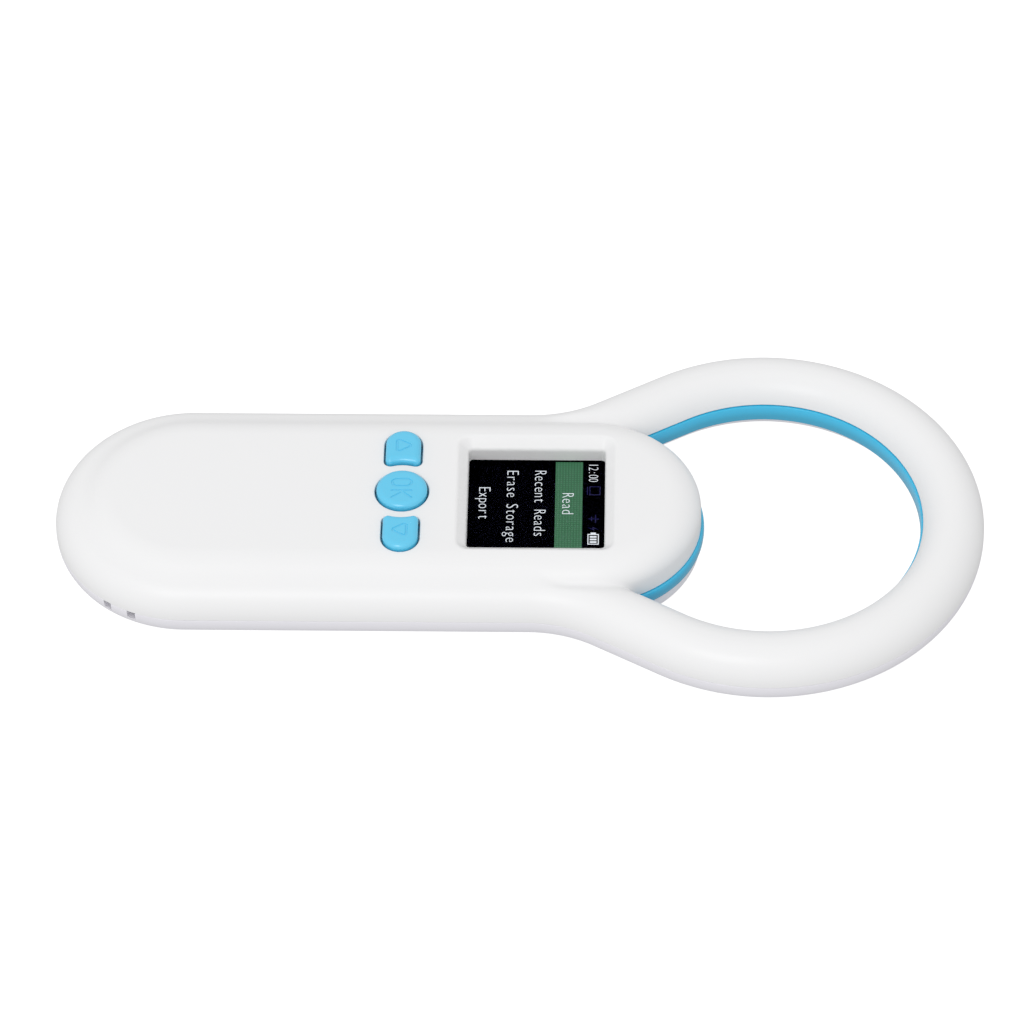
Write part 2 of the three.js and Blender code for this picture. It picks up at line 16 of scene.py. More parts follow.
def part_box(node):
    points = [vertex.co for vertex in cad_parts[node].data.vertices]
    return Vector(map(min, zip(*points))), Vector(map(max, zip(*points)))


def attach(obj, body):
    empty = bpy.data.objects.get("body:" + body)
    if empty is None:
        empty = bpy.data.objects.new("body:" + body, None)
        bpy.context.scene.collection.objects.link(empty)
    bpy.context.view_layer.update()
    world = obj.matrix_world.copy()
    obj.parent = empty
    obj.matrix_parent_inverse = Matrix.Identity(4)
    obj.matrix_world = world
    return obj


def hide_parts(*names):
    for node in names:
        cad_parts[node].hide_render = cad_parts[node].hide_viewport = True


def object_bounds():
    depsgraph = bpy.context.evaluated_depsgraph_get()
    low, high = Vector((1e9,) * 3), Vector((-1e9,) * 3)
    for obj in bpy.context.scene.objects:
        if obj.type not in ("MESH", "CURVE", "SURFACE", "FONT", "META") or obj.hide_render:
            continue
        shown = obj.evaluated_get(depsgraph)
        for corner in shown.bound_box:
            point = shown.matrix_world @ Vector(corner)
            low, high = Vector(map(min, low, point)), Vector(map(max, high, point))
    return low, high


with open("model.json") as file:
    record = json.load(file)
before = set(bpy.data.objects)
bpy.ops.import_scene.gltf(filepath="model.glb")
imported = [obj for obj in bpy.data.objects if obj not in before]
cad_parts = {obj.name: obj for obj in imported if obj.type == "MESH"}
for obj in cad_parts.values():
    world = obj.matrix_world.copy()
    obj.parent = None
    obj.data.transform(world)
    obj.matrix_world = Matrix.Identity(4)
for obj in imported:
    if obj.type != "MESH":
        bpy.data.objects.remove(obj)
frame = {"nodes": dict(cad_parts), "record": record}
cad_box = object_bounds()

BODY = "scanner"
MM = 0.001


def box_mm(node):
    """A CAD node's lowest and highest corners in millimetres."""
    return tuple(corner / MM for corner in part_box(node))


# ---- The CAD's driving dimensions -----------------------------------------------------------------
case_low, case_high = box_mm("top_shell")
LENGTH = case_high.x - case_low.x
TOP_Z = case_high.z
MID_Z = TOP_Z / 2
WALL = 1.9
PARTING_Z = MID_Z - 0.2
SHELL_GAP = 0.06
RING_OUTER = case_high.y
RING_X = LENGTH / 2 - RING_OUTER
ARM_SLOPE = math.radians(30)
HANDLE_HALF_WIDTH = 26.8
FRAME_OUTLINE = {
    "ring": RING_OUTER,
    "side": HANDLE_HALF_WIDTH,
    "fillet": 25,
    "end": -LENGTH / 2,
    "corner": HANDLE_HALF_WIDTH,
}
HOLE_OUTLINE = {"ring": 31.1, "side": 19.4, "fillet": 20, "end": 6.5, "corner": 4}
BUTT_CENTRE_X = HANDLE_HALF_WIDTH - LENGTH / 2
FRAME_EDGE = {"half": 6.6, "width": 6, "rise": 6.2}
POD_EDGE = {"half": MID_Z, "width": 6.7, "rise": 4.8}
POD_RADIUS = 22
POD_TIP_CENTRE_X = 36.2 - POD_RADIUS
POD_BUTT_CENTRE_X = -87.3 + POD_RADIUS
RIDGE_BLEND = 1.5  # how softly the arms' two roundings meet
CREASE_BLEND = 1.3  # how softly the frame runs into the pod

BAND = {"low": MID_Z - 2.3, "high": MID_Z + 1.7, "proud": 0.35}
TIP_BAND = {"low": MID_Z - 2.6, "high": MID_Z + 0.5, "proud": 0.65}
BAND_DEEP = 1.2
BAND_SHOULDER = 0.2  # how far behind the case's wall its bulging face begins
BAND_END = TIP_BAND["proud"] - 0.1  # where the ring's part stops, outside the pod
BAND_GAP = 0.08
BAND_JOINT = 0.16  # how much lower its top edge sits than the groove's
WINDOW = {"x": 3.4, "long": 27.25, "wide": 26.45, "corner": 0.8}
WINDOW_BEVEL = {"wide": 2.15, "low": 15.93, "corner": 2.6}
WELLS = [{"wide": 3.6, "deep": 3.4}, {"wide": 1.6, "deep": 4.8}]  # the thick wall round the window
KEY_X = -23.25
KEY_GAP = 0.35
KEY_TOP = TOP_Z + 1.2
OK_RADIUS = 5.05
SIDE_KEY = {"inner": 7.55, "outer": 15.9, "half": 3.5, "corner": 1.0}
BOSS = {"radius": 2.0, "top": 13.6}
SCREW_HOLE = {"radius": 0.98, "top": 12.0}
COUNTERBORE = {"radius": 1.85, "top": 5.05}
SCREWS = 6
SOCKET_GAP = 0.4
LANYARD = {
    "from": 235.2,  # where the two slots are round the butt, in degrees
    "to": 247,
    "low": MID_Z - 2.2,
    "high": MID_Z,
    "wide": 1.8,
    "deep": 3.6,
}
LANYARD_BLOCK = {"margin": 5, "wall": 1}  # the solid round the tunnel: degrees past it, millimetres behind

# ---- Camera, light and floor ----------------------------------------------------------------------
EYE = Vector((25.4, -853.7, 933.4))
AIM = Vector((-1.5, 1.5, 10.3))
ROLL = math.radians(-0.93)
LENS = 221.9


def make_camera():
    data = bpy.data.cameras.new("camera")
    data.lens = LENS
    data.clip_end = 10
    camera = bpy.data.objects.new("camera", data)
    bpy.context.scene.collection.objects.link(camera)
    level = (AIM - EYE).to_track_quat("-Z", "Y")
    camera.rotation_mode = "QUATERNION"
    camera.rotation_quaternion = level @ Matrix.Rotation(ROLL, 3, "Z").to_quaternion()
    camera.location = EYE * MM
    bpy.context.scene.camera = camera


make_camera()

SKY = {"level": 0.80, "right": -0.07, "near": 0.107, "up": 0.23}
SOFTBOX = {"place": (-0.3, -0.9, 1.1), "size": 0.65, "power": 3.5}
FLOOR = {"size": 6, "colour": 0.35, "glow": 0.85, "z": -0.0003}
bpy.context.scene.view_settings.view_transform = "Standard"


def make_light():
    """A soft studio: an even sky, a little brighter overhead and on the near side, and a softbox."""
    world = bpy.data.worlds.new("studio")
    world.use_nodes = True
    bpy.context.scene.world = world
    nodes, links = world.node_tree.nodes, world.node_tree.links
    direction = nodes.new("ShaderNodeTexCoord")
    slope = nodes.new("ShaderNodeVectorMath")
    slope.operation = "DOT_PRODUCT"
    slope.inputs[1].default_value = (SKY["right"], -SKY["near"], SKY["up"])
    total = nodes.new("ShaderNodeMath")
    total.inputs[1].default_value = SKY["level"]
    links.new(direction.outputs["Generated"], slope.inputs[0])
    links.new(slope.outputs["Value"], total.inputs[0])
    links.new(total.outputs[0], nodes["Background"].inputs["Strength"])
    nodes["Background"].inputs["Color"].default_value = (1, 1, 1, 1)

    light = bpy.data.lights.new("softbox", "AREA")
    light.shape = "DISK"
    light.size = SOFTBOX["size"]
    light.energy = SOFTBOX["power"]
    lamp = bpy.data.objects.new("softbox", light)
    lamp.location = SOFTBOX["place"]
    lamp.rotation_mode = "QUATERNION"
    lamp.rotation_quaternion = (-lamp.location).to_track_quat("-Z", "Y")
    bpy.context.scene.collection.objects.link(lamp)


def make_floor():
    """A white sweep, lit from behind so that it stays white, that is seen from above only and throws
    no light up under the scanner."""
    half = FLOOR["size"] / 2
    corners = [(-half, -half, 0), (half, -half, 0), (half, half, 0), (-half, half, 0)]
    mesh = bpy.data.meshes.new("floor")
    mesh.from_pydata(corners, [], [(0, 1, 2, 3)])
    floor = bpy.data.objects.new("floor", mesh)
    bpy.context.scene.collection.objects.link(floor)
    white = bpy.data.materials.new("floor_white")
    white.use_nodes = True
    nodes, links = white.node_tree.nodes, white.node_tree.links
    paper = nodes["Principled BSDF"]
    paper.inputs["Base Color"].default_value = (FLOOR["colour"], FLOOR["colour"], FLOOR["colour"], 1)
    paper.inputs["Emission Color"].default_value = (1, 1, 1, 1)
    paper.inputs["Emission Strength"].default_value = FLOOR["glow"]
    paper.inputs["Roughness"].default_value = 1
    paper.inputs["Specular IOR Level"].default_value = 0
    clear = nodes.new("ShaderNodeBsdfTransparent")
    side = nodes.new("ShaderNodeNewGeometry")
    mix = nodes.new("ShaderNodeMixShader")
    links.new(side.outputs["Backfacing"], mix.inputs[0])
    links.new(paper.outputs[0], mix.inputs[1])
    links.new(clear.outputs[0], mix.inputs[2])
    links.new(mix.outputs[0], nodes["Material Output"].inputs["Surface"])
    mesh.materials.append(white)
    floor.visible_diffuse = False
    floor.visible_glossy = False
    floor.location.z = FLOOR["z"]


make_light()
make_floor()


# ---- Materials ------------------------------------------------------------------------------------
def finish_of(name, colour, roughness, metallic=0.0, specular=0.5, vary=0.03, grain=900, bump=0.04):
    """A moulded or machined finish: its colour and gloss drift a little, over a fine grain."""
    made = bpy.data.materials.new(name)
    made.use_nodes = True
    nodes, links = made.node_tree.nodes, made.node_tree.links
    shader = nodes["Principled BSDF"]
    shader.inputs["Metallic"].default_value = metallic
    shader.inputs["Specular IOR Level"].default_value = specular
    place = nodes.new("ShaderNodeTexCoord")

    def noise(scale, detail):
        texture = nodes.new("ShaderNodeTexNoise")
        texture.inputs["Scale"].default_value = scale
        texture.inputs["Detail"].default_value = detail
        links.new(place.outputs["Object"], texture.inputs["Vector"])
        return texture.outputs["Fac"]

    drift = noise(35, 3)
    shades = nodes.new("ShaderNodeMix")
    shades.data_type = "RGBA"
    shades.inputs["A"].default_value = (*(c * (1 - vary) for c in colour), 1)
    shades.inputs["B"].default_value = (*(min(c * (1 + vary), 1) for c in colour), 1)
    links.new(drift, shades.inputs["Factor"])
    links.new(shades.outputs["Result"], shader.inputs["Base Color"])

    fine = noise(grain, 2)
    gloss = nodes.new("ShaderNodeMapRange")
    gloss.inputs["To Min"].default_value = roughness * 0.88
    gloss.inputs["To Max"].default_value = min(roughness * 1.12, 1)
    links.new(fine, gloss.inputs["Value"])
    links.new(gloss.outputs["Result"], shader.inputs["Roughness"])

    relief = nodes.new("ShaderNodeBump")
    relief.inputs["Strength"].default_value = bump
    relief.inputs["Distance"].default_value = 0.02 * MM
    links.new(fine, relief.inputs["Height"])
    links.new(relief.outputs["Normal"], shader.inputs["Normal"])
    return made


FOIL = {"metallic": 0.8, "vary": 0.08, "grain": 200, "bump": 0.3}
FINISHES = {
    "case_white": finish_of("case_white", (0.80, 0.80, 0.805), 0.36, specular=0.4, vary=0.008),
    "band_cyan": finish_of("band_cyan", (0.035, 0.41, 0.64), 0.25, specular=0.6, vary=0.01, bump=0.005),
    "key_cyan": finish_of("key_cyan", (0.08, 0.53, 0.79), 0.26, specular=1.0, vary=0.01, bump=0.005),
    "black_plastic": finish_of("black_plastic", (0.012, 0.012, 0.013), 0.45, vary=0.15),
    "natural_plastic": finish_of("natural_plastic", (0.75, 0.72, 0.62), 0.5, vary=0.05),
    "display_black": finish_of("display_black", (0.0008, 0.0008, 0.002), 0.4, specular=0, vary=0.2),
    "amber_film": finish_of("amber_film", (0.55, 0.26, 0.04), 0.35, vary=0.1),
    "board_green": finish_of("board_green", (0.012, 0.10, 0.04), 0.35, vary=0.25, grain=300, bump=0.2),
    "steel": finish_of("steel", (0.55, 0.56, 0.58), 0.28, metallic=1.0, vary=0.06),
    "screw_steel": finish_of("screw_steel", (0.45, 0.45, 0.46), 0.32, metallic=1.0, vary=0.1),
    "battery_foil": finish_of("battery_foil", (0.60, 0.61, 0.63), 0.38, **FOIL),
    "foam": finish_of("foam", (0.04, 0.04, 0.042), 0.95, vary=0.3, grain=2500, bump=0.6),
    "lead_red": finish_of("lead_red", (0.45, 0.015, 0.012), 0.45, vary=0.08),
    "lead_black": finish_of("lead_black", (0.012, 0.012, 0.013), 0.45, vary=0.15),
    "copper": finish_of("copper", (0.62, 0.25, 0.11), 0.3, metallic=1.0, vary=0.15, grain=4000, bump=0.5),
}


def window_glass():
    """The clear window: polished acrylic with an anti-glare coating, so it shows no reflection."""
    made = finish_of("clear_window", (0.97, 0.975, 0.98), 0.04, vary=0.01, bump=0.01)
    shader = made.node_tree.nodes["Principled BSDF"]
    shader.inputs["Transmission Weight"].default_value = 1
    shader.inputs["IOR"].default_value = 1.0
    return made


def paint_sky_light_upwards(made, low, high, least, most):
    """Paints light into a finish: lighter with height, from z = low to z = high, a painted highlight for
    the sky that a bulging face catches.
    """
    nodes, links = made.node_tree.nodes, made.node_tree.links
    shader = nodes["Principled BSDF"]
    plain = shader.inputs["Base Color"].links[0].from_socket
    place = nodes.new("ShaderNodeTexCoord")
    split = nodes.new("ShaderNodeSeparateXYZ")
    gain = nodes.new("ShaderNodeMapRange")
    gain.interpolation_type = "SMOOTHSTEP"
    gain.inputs["From Min"].default_value = low * MM
    gain.inputs["From Max"].default_value = high * MM
    gain.inputs["To Min"].default_value = least
    gain.inputs["To Max"].default_value = most
    scaled = nodes.new("ShaderNodeVectorMath")
    scaled.operation = "SCALE"
    links.new(place.outputs["Object"], split.inputs[0])
    links.new(split.outputs["Z"], gain.inputs["Value"])
    links.new(plain, scaled.inputs[0])
    links.new(gain.outputs["Result"], scaled.inputs["Scale"])
    links.new(scaled.outputs["Vector"], shader.inputs["Base Color"])


# The band is painted lighter towards its upper edge: painted sky light on its bulging face.
paint_sky_light_upwards(FINISHES["band_cyan"], BAND["low"] + 1, BAND["high"] - 0.7, 0.9, 1.2)
FINISHES["clear_window"] = window_glass()
LOWER_WHITE = finish_of("lower_white", (0.785, 0.775, 0.82), 0.36, specular=0.4, vary=0.008)

for row in frame["record"]["subparts"]:
    data = frame["nodes"][row["node"]].data
    data.materials.clear()
    data.materials.append(FINISHES[row["material_slot"]])


# ---- The case's surface ---------------------------------------------------------------------------
def racket_distance(x, y, ring, side, fillet, end, corner):
    """Distance in plan from a racket's outline, negative inside: a ring, sides that leave it at
    ARM_SLOPE, a hollow fillet into each side of the handle, and a handle end with round corners."""
    y = np.abs(y)
    sine, cosine = math.sin(ARM_SLOPE), math.cos(ARM_SLOPE)
    straight = ((ring + fillet) * cosine - side - fillet) / sine
    fillet_x = RING_X - (ring + fillet) * sine - straight * cosine
    along = (RING_X - x) * cosine - y * sine
    slope = (RING_X - x) * sine + y * cosine - ring
    round_ring = np.hypot(x - RING_X, y) - ring
    hollow = fillet - np.hypot(x - fillet_x, y - side - fillet)
    past_end = np.maximum(end + corner - x, 0)
    past_side = np.maximum(y - side + corner, 0)
    handle = np.hypot(past_end, past_side) - corner
    return np.select([along < 0, along < straight, x > fillet_x], [round_ring, slope, hollow], handle)


def pod_distance(x, y):
    middle = np.clip(x, POD_BUTT_CENTRE_X, POD_TIP_CENTRE_X)
    return np.hypot(x - middle, y) - POD_RADIUS


def slab_distance(side, height, inset, half, width, rise):
    """Distance from a slab whose edges are rounded by a quarter ellipse, width across and rise high.
    side is the distance in plan from its outline."""
    height = np.abs(height) - half + inset
    side = side + inset
    width, rise = width - inset, rise - inset
    u, v = side / width + 1, height / rise + 1
    steepness = np.maximum(np.hypot(u / width, v / rise), 1e-9)
    curved = (u * u + v * v - 1) / (2 * steepness)
    return np.where((u > 0) & (v > 0), curved, np.maximum(side, height))


def soft_least(a, b, reach):
    """The smaller of two distances, blended where they are within reach of each other."""
    share = np.maximum(reach - np.abs(a - b), 0) / reach
    return np.minimum(a, b) - share * share * reach / 4


def case_distance(points, inset=0.0):
    """Distance from the whole case drawn in by an inset: the frame with its hole, and the pod."""
    x, y, z = np.moveaxis(points, -1, 0)
    outside = racket_distance(x, y, **FRAME_OUTLINE)
    hole = racket_distance(x, y, **HOLE_OUTLINE)
    rim = -soft_least(-outside, hole, RIDGE_BLEND)
    arms = slab_distance(rim, z - MID_Z, inset, **FRAME_EDGE)
    pod = slab_distance(pod_distance(x, y), z - MID_Z, inset, **POD_EDGE)
    return soft_least(arms, pod, CREASE_BLEND)


def slope_of(distance, points, reach=1e-3):
    """How a distance grows along each axis: the surface's outward normal, near the surface."""
    steps = np.eye(3) * reach
    pairs = [distance(points + step) - distance(points - step) for step in steps]
    return np.stack(pairs, -1) / (2 * reach)


def settled(distance, points, rounds=1):
    """Moves points onto the surface where distance is zero."""
    for _ in range(rounds):
        slope = slope_of(distance, points)
        squared = np.maximum((slope * slope).sum(-1, keepdims=True), 1e-6)
        points = points - distance(points)[..., None] * slope / squared
    return points


def net(distance, cell, rounds):
    """A closed quad mesh of the surface where distance is zero. It has a point in each grid cell that
    the surface crosses, and a quad round each grid edge; the points are evened out and settled on
    the surface."""
    low = np.array(cad_box[0]) / MM - 2.5 * cell
    high = np.array(cad_box[1]) / MM + 2.5 * cell
    axes = [np.arange(a, b, cell) for a, b in zip(low, high)]
    grid = np.stack(np.meshgrid(*axes, indexing="ij"), -1)
    inside = distance(grid) < 0
    full = np.zeros(np.array(inside.shape) - 1, int)
    for i, j, k in np.ndindex(2, 2, 2):
        full += inside[i : i + full.shape[0], j : j + full.shape[1], k : k + full.shape[2]]
    crossed = (full > 0) & (full < 8)
    index = np.full(full.shape, -1)
    index[crossed] = np.arange(crossed.sum())
    points = grid[:-1, :-1, :-1][crossed] + cell / 2
    quads = []
    for axis in range(3):
        across, up = np.eye(3, dtype=int)[[(axis + 1) % 3, (axis + 2) % 3]]
        change = np.diff(inside.astype(int), axis=axis)
        edges = np.argwhere(change)
        around = [edges - across - up, edges - up, edges, edges - across]
        quad = np.stack([index[tuple(cells.T)] for cells in around], 1)
        entering = change[tuple(edges.T)] > 0
        quad[entering] = quad[entering][:, ::-1]
        quads.append(quad)
    quads = np.concatenate(quads)
    starts = quads.ravel()
    ends = np.roll(quads, -1, 1).ravel()
    count = np.bincount(starts, minlength=len(points))[:, None]
    for _ in range(rounds):
        sums = [np.bincount(starts, points[ends, axis], len(points)) for axis in range(3)]
        points = settled(distance, np.stack(sums, -1) / count)
    return settled(distance, points, 3), quads


# ---- Outlines -------------------------------------------------------------------------------------
def arc(x, y, radius, start, end, step=2.0, count=None):
    """Points along an arc, both ends included; angles and step in degrees."""
    count = count or max(1, round(abs(end - start) / step))
    angles = np.radians(np.linspace(start, end, count + 1))
    return np.stack([x + radius * np.cos(angles), y + radius * np.sin(angles)], -1)


def racket_outline(grow, ring, side, fillet, end, corner):
    sine, cosine = math.sin(ARM_SLOPE), math.cos(ARM_SLOPE)
    straight = ((ring + fillet) * cosine - side - fillet) / sine
    fillet_x = RING_X - (ring + fillet) * sine - straight * cosine
    fillet_y = side + fillet
    corner_x, corner_y = end + corner, side - corner
    tilt = math.degrees(ARM_SLOPE)
    return np.concatenate(
        [
            arc(RING_X, 0, ring + grow, -90 - tilt, 90 + tilt),
            arc(fillet_x, fillet_y, fillet - grow, tilt - 90, -90),
            arc(corner_x, corner_y, corner + grow, 90, 180),
            arc(corner_x, -corner_y, corner + grow, 180, 270),
            arc(fillet_x, -fillet_y, fillet - grow, 90, 90 - tilt),
        ]
    )


def frame_outline(grow):
    return racket_outline(grow, **FRAME_OUTLINE)


def hole_outline(grow):
    return racket_outline(grow, **HOLE_OUTLINE)


def pod_outline(grow):
    radius = POD_RADIUS + grow
    return np.concatenate(
        [arc(POD_TIP_CENTRE_X, 0, radius, -90, 90), arc(POD_BUTT_CENTRE_X, 0, radius, 90, 270)]
    )


def capsule_outline(start, end, radius):
    """A straight stroke with round ends."""
    turn = math.degrees(math.atan2(end[1] - start[1], end[0] - start[0]))
    return np.concatenate(
        [arc(*end, radius, turn - 90, turn + 90, 15), arc(*start, radius, turn + 90, turn + 270, 15)]
    )


def rectangle_outline(x, y, long, wide, corner):
    dx, dy = long / 2 - corner, wide / 2 - corner
    turns = [(dx, dy, 0), (-dx, dy, 90), (-dx, -dy, 180), (dx, -dy, 270)]
    return np.concatenate([arc(x + a, y + b, corner, t, t + 90, 9) for a, b, t in turns])


def window_outline(grow):
    """The window's outline, whose corners open up to the bevel's as it grows."""
    opening = (WINDOW_BEVEL["corner"] - WINDOW["corner"]) / WINDOW_BEVEL["wide"]
    corner = WINDOW["corner"] + grow * opening
    return rectangle_outline(WINDOW["x"], 0, WINDOW["long"] + 2 * grow, WINDOW["wide"] + 2 * grow, corner)


def ok_outline(grow):
    return arc(KEY_X, 0, OK_RADIUS + grow, 0, 360, 3)[:-1]


def side_key_outline(side, grow):
    """A side key seen from above: round at its far end, hollow towards the round key."""
    half, inner = SIDE_KEY["half"] + grow, SIDE_KEY["inner"] - grow
    corner = max(SIDE_KEY["corner"] + grow, 0.05)
    round_y = SIDE_KEY["outer"] - SIDE_KEY["half"]
    hollow = math.degrees(math.asin((half - corner) / (inner + corner)))
    corner_y = (inner + corner) * math.cos(math.radians(hollow))
    points = np.concatenate(
        [
            arc(0, round_y, half, 0, 180, 3),
            arc(corner - half, corner_y, corner, 180, 270 + hollow, count=12),
            arc(0, 0, inner, 90 + hollow, 90 - hollow, count=14),
            arc(half - corner, corner_y, corner, 270 - hollow, 360, count=12),
        ]
    )
    points = points * (1, side) + (KEY_X, 0)
    return points if side > 0 else points[::-1]


# ---- Meshes ---------------------------------------------------------------------------------------
def piece_from(name, points, faces):
    """An object with the mesh of these points, given in millimetres."""
    build = bmesh.new()
    verts = [build.verts.new(Vector(p) * MM) for p in points]
    for face in faces:
        build.faces.new([verts[i] for i in face])
    bmesh.ops.remove_doubles(build, verts=build.verts, dist=1e-7)
    bmesh.ops.recalc_face_normals(build, faces=build.faces)
    mesh = bpy.data.meshes.new(name)
    build.to_mesh(mesh)
    build.free()
    piece = bpy.data.objects.new(name, mesh)
    bpy.context.scene.collection.objects.link(piece)
    return piece


def rings(outline, profile):
    """One ring of points for each (grow, z) of a profile."""
    return [np.column_stack([p := outline(grow), np.full(len(p), z)]) for grow, z in profile]


def side_faces(levels, size, closed=False):
    last = levels if closed else levels - 1
    return [
        (
            level * size + i,
            level * size + (i + 1) % size,
            (level + 1) % levels * size + (i + 1) % size,
            (level + 1) % levels * size + i,
        )
        for level in range(last)
        for i in range(size)
    ]


def loft(name, outline, profile):
    """A solid whose outline grows and shrinks with height."""
    points = rings(outline, profile)
    size = len(points[0])
    last = size * (len(points) - 1)
    lids = [tuple(range(size))[::-1], tuple(range(last, last + size))]
    return piece_from(name, np.concatenate(points), side_faces(len(points), size) + lids)


def hoop(name, outline, section):
    """A closed strip of one section, swept along an outline; section holds (grow, z) pairs."""
    points = rings(outline, section)
    return piece_from(name, np.concatenate(points), side_faces(len(points), len(points[0]), True))


def softened(path, reach, steps=5):
    """A path of (grow, z) points whose inner corners are rounded within reach of each."""
    path = np.array(path, float)
    made = [path[:1]]
    for before, corner, after in zip(path, path[1:], path[2:]):
        back, on = before - corner, after - corner
        start = corner + back * min(reach / np.linalg.norm(back), 0.5)
        end = corner + on * min(reach / np.linalg.norm(on), 0.5)
        t = np.linspace(0, 1, steps + 1)[:, None]
        made.append((1 - t) ** 2 * start + 2 * t * (1 - t) * corner + t * t * end)
    return np.concatenate([*made, path[-1:]])


def applied(piece):
    """Makes a piece's modifiers part of its mesh."""
    bpy.context.view_layer.update()
    shaped = piece.evaluated_get(bpy.context.evaluated_depsgraph_get())
    piece.data = bpy.data.meshes.new_from_object(shaped)
    piece.modifiers.clear()
    return piece


def combine(piece, operation, *tools):
    """Joins tools to a piece, cuts them from it or keeps what they share, and removes them."""
    for tool in tools:
        step = piece.modifiers.new(operation, "BOOLEAN")
        step.operation = operation
        step.solver = "MANIFOLD"
        step.object = tool
    applied(piece)
    for tool in tools:
        bpy.data.objects.remove(tool)
    return piece


def slice_of(name, low, high):
    """A block wider than the scanner, from z = low to z = high."""
    return loft(name, lambda grow: rectangle_outline(0, 0, ACROSS, ACROSS, 1), [(0, low), (0, high)])


def finished(piece, slot, *nodes, material=None, angle=35):
    """Gives a piece its material and smooth shading; it stands for the CAD nodes named."""
    piece.data.materials.clear()
    piece.data.materials.append(material or FINISHES[slot])
    piece.data.shade_smooth()
    piece.data.set_sharp_from_angle(angle=math.radians(angle))
    even = piece.modifiers.new("even", "WEIGHTED_NORMAL")
    even.keep_sharp = True
    applied(piece)
    if nodes:
        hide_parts(*nodes)
    return piece


def shade_as_case(piece):
    """Gives the faces on the case's outer surface that surface's own normals."""
    mesh = piece.data
    points = np.empty(len(mesh.vertices) * 3)
    mesh.vertices.foreach_get("co", points)
    points = points.reshape(-1, 3) / MM
    on_case = np.abs(case_distance(points)) < 0.02
    slope = slope_of(case_distance, points)
    slope /= np.maximum(np.linalg.norm(slope, axis=1, keepdims=True), 1e-9)
    corner = np.empty(len(mesh.loops), int)
    mesh.loops.foreach_get("vertex_index", corner)
    normals = np.empty(len(mesh.loops) * 3)
    mesh.corner_normals.foreach_get("vector", normals)
    normals = normals.reshape(-1, 3)
    owner = np.repeat(np.arange(len(mesh.polygons)), [p.loop_total for p in mesh.polygons])
    facing = np.empty(len(mesh.polygons) * 3)
    mesh.polygons.foreach_get("normal", facing)
    facing = facing.reshape(-1, 3)[owner]
    agrees = (facing * slope[corner]).sum(1) > 0.8
    good = on_case[corner] & agrees
    whole = np.bincount(owner, ~good, len(mesh.polygons)) == 0
    smooth = whole[owner]
    normals[smooth] = slope[corner][smooth]
    mesh.normals_split_custom_set(normals.tolist())


# ---- The case ---------------------------------------------------------------------------------------
CELL = 0.6
HOLLOW_CELL = 1.6
PARTING_GROOVE = {"half": 0.12, "deep": 0.12}
SHALLOW = 0.02  # how far a cutter's edge stands off the surface it cuts
ABOVE = 50
ACROSS = 300
CLEAR = 2  # how far an opening's cutter reaches past the case's top
BRINK = {"below": 0.01, "above": 0.03}  # how an opening's lip crosses the case's flat top
OPENING_LOW = {"window": 11, "key": 13}  # where the openings' cutters begin, inside the case
WINDOW_LIP = {"lip": 1.6, "softness": 0.5}
KEY_LIP = {"lip": 1, "softness": 0.28}


def disc(name, x, y, radius, low, high):
    return loft(name, lambda grow: arc(x, y, radius + grow, 0, 360, 10)[:-1], [(0, low), (0, high)])


def screw_discs(name, hole, low):
    """One disc at each of the case's screws."""
    discs = []
    for number in range(1, SCREWS + 1):
        corners = box_mm(f"case_screw_{number}")
        middle = (corners[0] + corners[1]) / 2
        discs.append(disc(f"{name}_{number}", middle.x, middle.y, hole["radius"], low, hole["top"]))
    return discs


def butt_sector(name, inner, outer, start, end, low, high):
    """A curved block along the round butt, between two angles in degrees."""
    out = arc(BUTT_CENTRE_X, 0, outer, start, end)
    back = arc(BUTT_CENTRE_X, 0, inner, end, start)
    return loft(name, lambda grow: np.concatenate([out, back]), [(0, low), (0, high)])


def lanyard_slot(name, degrees):
    slot = loft(
        name,
        lambda grow: rectangle_outline(HANDLE_HALF_WIDTH, 0, 2 * LANYARD["deep"], LANYARD["wide"], 0.3),
        [(0, LANYARD["low"]), (0, LANYARD["high"])],
    )
    turn = Matrix.Rotation(math.radians(degrees), 4, "Z")
    slot.data.transform(Matrix.Translation((BUTT_CENTRE_X * MM, 0, 0)) @ turn)
    return slot


def lanyard_tunnel():
    """Two slots side by side in the butt's wall, joined behind a post."""
    behind = butt_sector(
        "tunnel",
        HANDLE_HALF_WIDTH - LANYARD["deep"],
        HANDLE_HALF_WIDTH - WALL,
        LANYARD["from"],
        LANYARD["to"],
        LANYARD["low"],
        LANYARD["high"],
    )
    slots = [lanyard_slot(f"slot_{end}", LANYARD[end]) for end in ("from", "to")]
    return combine(behind, "UNION", *slots)


